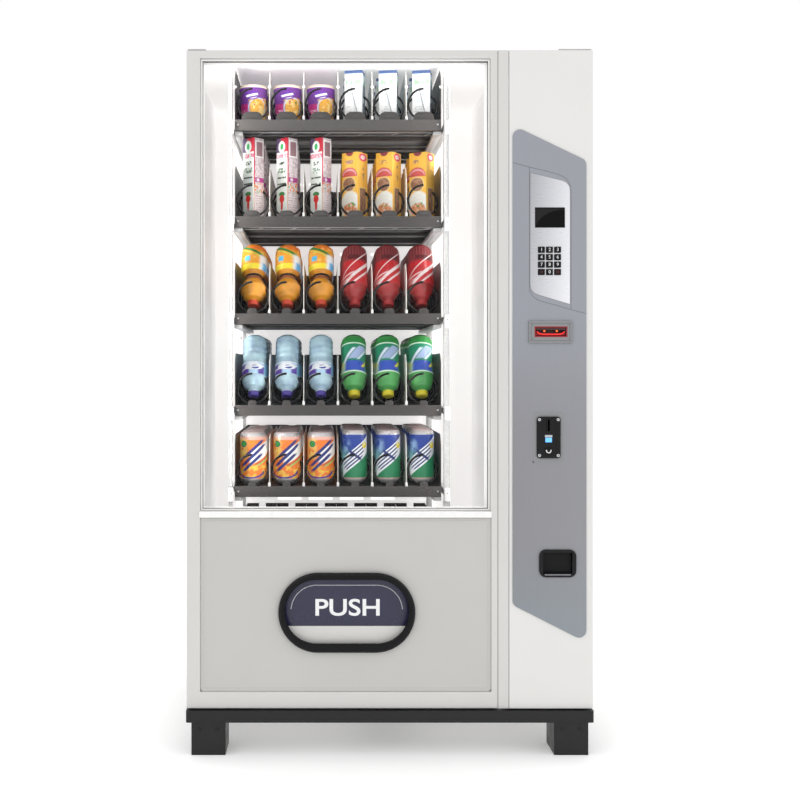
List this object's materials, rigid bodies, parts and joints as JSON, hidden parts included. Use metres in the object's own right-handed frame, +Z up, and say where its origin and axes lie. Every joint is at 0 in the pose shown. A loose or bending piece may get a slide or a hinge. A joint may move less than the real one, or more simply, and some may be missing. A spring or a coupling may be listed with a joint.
{
  "type": "vending machine",
  "caption": "Free-standing snack vending machine with a glazed product door, spiral trays, a push flap for pickup, a payment column with keypad, and a black skid.",
  "frame": {"origin": "on the floor under the middle of the machine", "axes": "+Z up, -Y out of the front, +X to the viewer's right"},
  "size_m": [1.117, 0.8, 1.94],
  "materials": {
    "white_steel": "white powder coat",
    "white_plastic": "satin white",
    "black_steel": "black powder coat",
    "dark_steel": "dark grey powder coat",
    "grey_steel": "galvanised grey",
    "black_plastic": "satin black",
    "display": "dark tinted window",
    "flap_blue": "dark blue above, pale grey lip below",
    "fascia_grey": "satin blue grey",
    "keypad_silver": "brushed silver",
    "gasket_rubber": "grey",
    "lock_chrome": "bright",
    "glass": "clear",
    "lamp": "frosted lamp cover"
  },
  "bodies": {
    "cabinet": {"base_frame": "black_steel", "foot_front_left": "black_steel", "foot_front_right": "black_steel", "foot_rear_left": "black_steel", "foot_rear_right": "black_steel", "cabinet_shell": "white_steel", "insulated_liner": "white_plastic", "delivery_bin": "dark_steel", "left_rail_rack": "grey_steel", "right_rail_rack": "grey_steel", "cooling_unit": "black_steel", "rear_vent_grille": "white_steel", "power_inlet": "black_plastic", "led_strip_left": "lamp", "led_strip_right": "lamp", "top_hinge_left": "white_steel", "top_hinge_right": "white_steel", "control_box": "grey_steel"},
    "lock": {"door_lock": "lock_chrome"},
    "glass_door": {"door_frame": "white_steel", "window_glass": "glass", "door_liner": "white_plastic", "door_gasket": "gasket_rubber", "lower_panel": "white_steel", "edge_profile": "white_steel", "pickup_bezel": "black_plastic"},
    "pickup_flap": {"pickup_flap": "flap_blue"},
    "payment_door": {"payment_door": "white_steel", "fascia_panel": "fascia_grey", "keypad_panel": "keypad_silver", "display_window": "display", "bill_acceptor": "fascia_grey", "coin_acceptor": "black_plastic", "coin_return_cup": "black_plastic"},
    "reject_button": {"reject_button": "black_plastic"},
    "coin_return_flap": {"coin_return_flap": "black_plastic"},
    "tray_1": {"tray_1": "dark_steel"},
    "tray_2": {"tray_2": "dark_steel"},
    "tray_3": {"tray_3": "dark_steel"},
    "tray_4": {"tray_4": "dark_steel"},
    "tray_5": {"tray_5": "dark_steel"},
    "tray_6": {"tray_6": "dark_steel"},
    "spiral_1": {"tray_5_spiral_1": "black_steel"},
    "spiral_2": {"tray_5_spiral_2": "black_steel"},
    "spiral_3": {"tray_5_spiral_3": "black_steel"},
    "spiral_4": {"tray_5_spiral_4": "black_steel"},
    "spiral_5": {"tray_5_spiral_5": "black_steel"},
    "spiral_6": {"tray_5_spiral_6": "black_steel"},
    "key_1": {"key_1": "black_plastic"},
    "key_2": {"key_2": "black_plastic"},
    "key_3": {"key_3": "black_plastic"},
    "key_4": {"key_4": "black_plastic"},
    "key_5": {"key_5": "black_plastic"},
    "key_6": {"key_6": "black_plastic"},
    "key_7": {"key_7": "black_plastic"},
    "key_8": {"key_8": "black_plastic"},
    "key_9": {"key_9": "black_plastic"},
    "key_clear": {"key_clear": "black_plastic"},
    "key_0": {"key_0": "black_plastic"},
    "key_enter": {"key_enter": "black_plastic"}
  },
  "joints": [
    {"name": "glass_door_hinge", "type": "hinge", "parent": "cabinet", "child": "glass_door", "pos_m": [-0.5455, -0.346, 1], "axis": [0, 0, -1], "range_deg": [0, 110]},
    {"name": "payment_door_hinge", "type": "hinge", "parent": "cabinet", "child": "payment_door", "pos_m": [0.5455, -0.346, 1], "axis": [0, 0, 1], "range_deg": [0, 100]},
    {"name": "pickup_flap_hinge", "type": "hinge", "parent": "glass_door", "child": "pickup_flap", "pos_m": [-0.1177, -0.376, 0.4925], "axis": [1, 0, 0], "range_deg": [0, 60], "stiffness_Nm_per_rad": 0.4},
    {"name": "coin_return_flap_hinge", "type": "hinge", "parent": "payment_door", "child": "coin_return_flap", "pos_m": [0.45975, -0.382, 0.5505], "axis": [1, 0, 0], "range_deg": [0, 60], "stiffness_Nm_per_rad": 0.01},
    {"name": "lock_turn", "type": "hinge", "parent": "cabinet", "child": "lock", "pos_m": [0.5583, -0.29, 1.05], "axis": [1, 0, 0], "range_deg": [0, 90]},
    {"name": "reject_button_push", "type": "slide", "parent": "payment_door", "child": "reject_button", "axis": [0, 1, 0], "range_m": [0, 0.002], "stiffness_N_per_m": 300},
    {"name": "tray_1_slide", "type": "slide", "parent": "cabinet", "child": "tray_1", "axis": [0, -1, 0], "range_m": [0, 0.07]},
    {"name": "tray_2_slide", "type": "slide", "parent": "cabinet", "child": "tray_2", "axis": [0, -1, 0], "range_m": [0, 0.07]},
    {"name": "tray_3_slide", "type": "slide", "parent": "cabinet", "child": "tray_3", "axis": [0, -1, 0], "range_m": [0, 0.07]},
    {"name": "tray_4_slide", "type": "slide", "parent": "cabinet", "child": "tray_4", "axis": [0, -1, 0], "range_m": [0, 0.07]},
    {"name": "tray_5_slide", "type": "slide", "parent": "cabinet", "child": "tray_5", "axis": [0, -1, 0], "range_m": [0, 0.07]},
    {"name": "tray_6_slide", "type": "slide", "parent": "cabinet", "child": "tray_6", "axis": [0, -1, 0], "range_m": [0, 0.07]},
    {"name": "spiral_1_turn", "type": "hinge", "parent": "tray_5", "child": "spiral_1", "pos_m": [-0.38615, -0.245, 0.7674], "axis": [0, 1, 0], "continuous": true},
    {"name": "spiral_2_turn", "type": "hinge", "parent": "tray_5", "child": "spiral_2", "pos_m": [-0.28785, -0.245, 0.7674], "axis": [0, 1, 0], "continuous": true},
    {"name": "spiral_3_turn", "type": "hinge", "parent": "tray_5", "child": "spiral_3", "pos_m": [-0.18955, -0.245, 0.7674], "axis": [0, 1, 0], "continuous": true},
    {"name": "spiral_4_turn", "type": "hinge", "parent": "tray_5", "child": "spiral_4", "pos_m": [-0.09125, -0.245, 0.7674], "axis": [0, 1, 0], "continuous": true},
    {"name": "spiral_5_turn", "type": "hinge", "parent": "tray_5", "child": "spiral_5", "pos_m": [0.00705, -0.245, 0.7674], "axis": [0, 1, 0], "continuous": true},
    {"name": "spiral_6_turn", "type": "hinge", "parent": "tray_5", "child": "spiral_6", "pos_m": [0.10535, -0.245, 0.7674], "axis": [0, 1, 0], "continuous": true},
    {"name": "key_1_push", "type": "slide", "parent": "payment_door", "child": "key_1", "axis": [0, 1, 0], "range_m": [0, 0.002], "stiffness_N_per_m": 300},
    {"name": "key_2_push", "type": "slide", "parent": "payment_door", "child": "key_2", "axis": [0, 1, 0], "range_m": [0, 0.002], "stiffness_N_per_m": 300},
    {"name": "key_3_push", "type": "slide", "parent": "payment_door", "child": "key_3", "axis": [0, 1, 0], "range_m": [0, 0.002], "stiffness_N_per_m": 300},
    {"name": "key_4_push", "type": "slide", "parent": "payment_door", "child": "key_4", "axis": [0, 1, 0], "range_m": [0, 0.002], "stiffness_N_per_m": 300},
    {"name": "key_5_push", "type": "slide", "parent": "payment_door", "child": "key_5", "axis": [0, 1, 0], "range_m": [0, 0.002], "stiffness_N_per_m": 300},
    {"name": "key_6_push", "type": "slide", "parent": "payment_door", "child": "key_6", "axis": [0, 1, 0], "range_m": [0, 0.002], "stiffness_N_per_m": 300},
    {"name": "key_7_push", "type": "slide", "parent": "payment_door", "child": "key_7", "axis": [0, 1, 0], "range_m": [0, 0.002], "stiffness_N_per_m": 300},
    {"name": "key_8_push", "type": "slide", "parent": "payment_door", "child": "key_8", "axis": [0, 1, 0], "range_m": [0, 0.002], "stiffness_N_per_m": 300},
    {"name": "key_9_push", "type": "slide", "parent": "payment_door", "child": "key_9", "axis": [0, 1, 0], "range_m": [0, 0.002], "stiffness_N_per_m": 300},
    {"name": "key_clear_push", "type": "slide", "parent": "payment_door", "child": "key_clear", "axis": [0, 1, 0], "range_m": [0, 0.002], "stiffness_N_per_m": 300},
    {"name": "key_0_push", "type": "slide", "parent": "payment_door", "child": "key_0", "axis": [0, 1, 0], "range_m": [0, 0.002], "stiffness_N_per_m": 300},
    {"name": "key_enter_push", "type": "slide", "parent": "payment_door", "child": "key_enter", "axis": [0, 1, 0], "range_m": [0, 0.002], "stiffness_N_per_m": 300}
  ]
}
